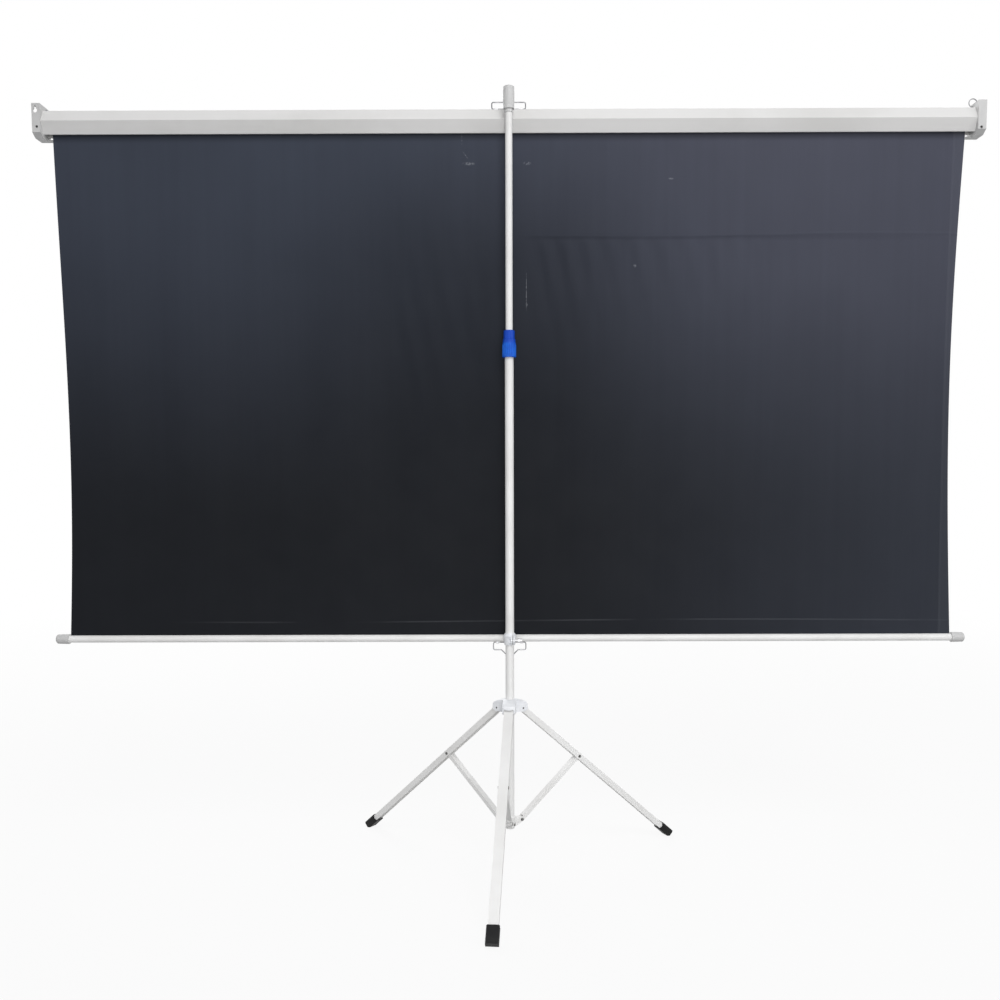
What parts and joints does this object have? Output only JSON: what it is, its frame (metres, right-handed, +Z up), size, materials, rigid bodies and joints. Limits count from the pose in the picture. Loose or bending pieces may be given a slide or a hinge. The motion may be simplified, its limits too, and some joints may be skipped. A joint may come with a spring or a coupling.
{
  "type": "projection screen",
  "caption": "Tripod projection screen: a sheet case with a spring roller hangs on a telescopic mast, its cloth drawn down to a round bar held by a clamp.",
  "frame": {"origin": "on the floor under the middle of the screen's bounding box", "axes": "+Z up, +X along the screen's width, the dark back of the cloth faces -Y"},
  "size_m": [2.3612, 0.7916, 1.9605],
  "materials": {
    "powder_white": "satin powder coat",
    "case_white": "satin enamel",
    "cap_plastic": "moulded, satin",
    "hub_plastic": "moulded, satin",
    "lock_blue": "moulded, glossy",
    "steel_wire": "zinc plated",
    "plated_steel": "zinc plated",
    "rubber": "matt",
    "cloth": "matt coated back"
  },
  "bodies": {
    "mast_base": {"lower_tube": "powder_white", "lock_body": "lock_blue", "lock_collet": "cap_plastic", "lower_collar": "powder_white", "collar_pins": "plated_steel", "collar_rivet": "plated_steel"},
    "twist_nut": {"twist_nut": "lock_blue"},
    "upper_mast": {"upper_tube": "powder_white", "mast_cap": "cap_plastic", "tube_foot_bush": "cap_plastic", "case_shell": "case_white", "end_cap_left": "cap_plastic", "end_cap_right": "cap_plastic", "end_cap_screws": "plated_steel", "bail_clips": "plated_steel", "fabric": "cloth", "spring_rod": "plated_steel", "windup_spring": "plated_steel"},
    "roller": {"roller_tube": "plated_steel", "rolled_fabric": "cloth", "roller_spring_bush": "cap_plastic", "roller_idle_plug": "cap_plastic"},
    "top_bail": {"top_bail": "steel_wire"},
    "ring_left": {"hang_ring_left": "steel_wire"},
    "ring_right": {"hang_ring_right": "steel_wire"},
    "bar_carriage": {"clamp_ring": "hub_plastic", "clamp_insert": "plated_steel", "bottom_bar": "powder_white", "bar_spline": "cap_plastic", "bar_cap_left": "cap_plastic", "bar_cap_right": "cap_plastic", "loop_clips": "plated_steel"},
    "thumb_screw": {"thumb_screw": "plated_steel"},
    "bar_loop": {"bar_loop": "steel_wire"},
    "hub": {"hub": "hub_plastic", "hub_pins": "plated_steel"},
    "leg_front": {"leg_front": "powder_white", "boot_front": "rubber", "knee_rivet_front": "plated_steel"},
    "brace_front": {"brace_front": "powder_white"},
    "leg_left": {"leg_left": "powder_white", "boot_left": "rubber", "knee_rivet_left": "plated_steel"},
    "brace_left": {"brace_left": "powder_white"},
    "leg_right": {"leg_right": "powder_white", "boot_right": "rubber", "knee_rivet_right": "plated_steel"},
    "brace_right": {"brace_right": "powder_white"}
  },
  "joints": [
    {"name": "mast_slide", "type": "slide", "parent": "mast_base", "child": "upper_mast", "axis": [0, 0, -1], "range_m": [0, 0.5], "deforming": ["fabric"]},
    {"name": "twist_lock", "type": "hinge", "parent": "mast_base", "child": "twist_nut", "pos_m": [0, 0.09949, 1.3195], "axis": [0, 0, 1], "range_deg": [0, 120]},
    {"name": "bar_slide", "type": "slide", "parent": "mast_base", "child": "bar_carriage", "axis": [0, 0, 1], "range_m": [0, 0.69], "deforming": ["fabric"]},
    {"name": "clamp_screw_turn", "type": "hinge", "parent": "bar_carriage", "child": "thumb_screw", "pos_m": [0.02, 0.08249, 0.586], "axis": [1, 0, 0], "range_deg": [0, 360]},
    {"name": "bar_loop_swing", "type": "hinge", "parent": "bar_carriage", "child": "bar_loop", "pos_m": [0, 0.13555, 0.57267], "axis": [1, 0, 0], "range_deg": [0, 60]},
    {"name": "roller_spin", "type": "hinge", "parent": "upper_mast", "child": "roller", "pos_m": [0, 0.1511, 1.88486], "axis": [-1, 0, 0], "range_deg": [0, 2700]},
    {"name": "bail_swing", "type": "hinge", "parent": "upper_mast", "child": "top_bail", "pos_m": [0, 0.13555, 1.91516], "axis": [-1, 0, 0], "range_deg": [0, 118]},
    {"name": "ring_left_swing", "type": "hinge", "parent": "upper_mast", "child": "ring_left", "pos_m": [-1.16135, 0.1484, 1.92036], "axis": [1, 0, 0], "range_deg": [0, 100]},
    {"name": "ring_right_swing", "type": "hinge", "parent": "upper_mast", "child": "ring_right", "pos_m": [1.16135, 0.1484, 1.92036], "axis": [-1, 0, 0], "range_deg": [0, 100]},
    {"name": "brace_front_fold", "type": "hinge", "parent": "mast_base", "child": "brace_front", "pos_m": [-0.0027, 0.06861, 0.112], "axis": [-0.9962, 0.0872, 0], "range_deg": [0, 20.5]},
    {"name": "leg_front_fold", "type": "hinge", "parent": "brace_front", "child": "leg_front", "pos_m": [-0.01737, -0.09903, 0.25984], "axis": [-0.9962, 0.0872, 0], "range_deg": [-41.01, 0]},
    {"name": "brace_left_fold", "type": "hinge", "parent": "mast_base", "child": "brace_left", "pos_m": [-0.02539, 0.11727, 0.112], "axis": [0.5736, 0.8192, 0], "range_deg": [0, 20.5]},
    {"name": "leg_left_fold", "type": "hinge", "parent": "brace_left", "child": "leg_left", "pos_m": [-0.16324, 0.2138, 0.25984], "axis": [0.5736, 0.8192, 0], "range_deg": [-41.01, 0]},
    {"name": "brace_right_fold", "type": "hinge", "parent": "mast_base", "child": "brace_right", "pos_m": [0.0281, 0.11259, 0.112], "axis": [0.4226, -0.9063, 0], "range_deg": [0, 20.5]},
    {"name": "leg_right_fold", "type": "hinge", "parent": "brace_right", "child": "leg_right", "pos_m": [0.18061, 0.18371, 0.25984], "axis": [0.4226, -0.9063, 0], "range_deg": [-41.01, 0]},
    {"name": "hub_fold", "type": "hinge", "parent": "leg_front", "child": "hub", "pos_m": [-0.0027, 0.06861, 0.40768], "axis": [-0.9962, 0.0872, 0], "range_deg": [0, 20.51]}
  ],
  "couplings": [
    {"joint": "brace_left_fold", "follows": "brace_front_fold", "ratio": 1},
    {"joint": "brace_right_fold", "follows": "brace_front_fold", "ratio": 1},
    {"joint": "hub_fold", "follows": "brace_front_fold", "ratio": 1},
    {"joint": "leg_front_fold", "follows": "brace_front_fold", "ratio": -2},
    {"joint": "leg_left_fold", "follows": "brace_front_fold", "ratio": -2},
    {"joint": "leg_right_fold", "follows": "brace_front_fold", "ratio": -2},
    {"joint": "roller_spin", "follows": "bar_slide", "rad_per_m": 67.568}
  ]
}
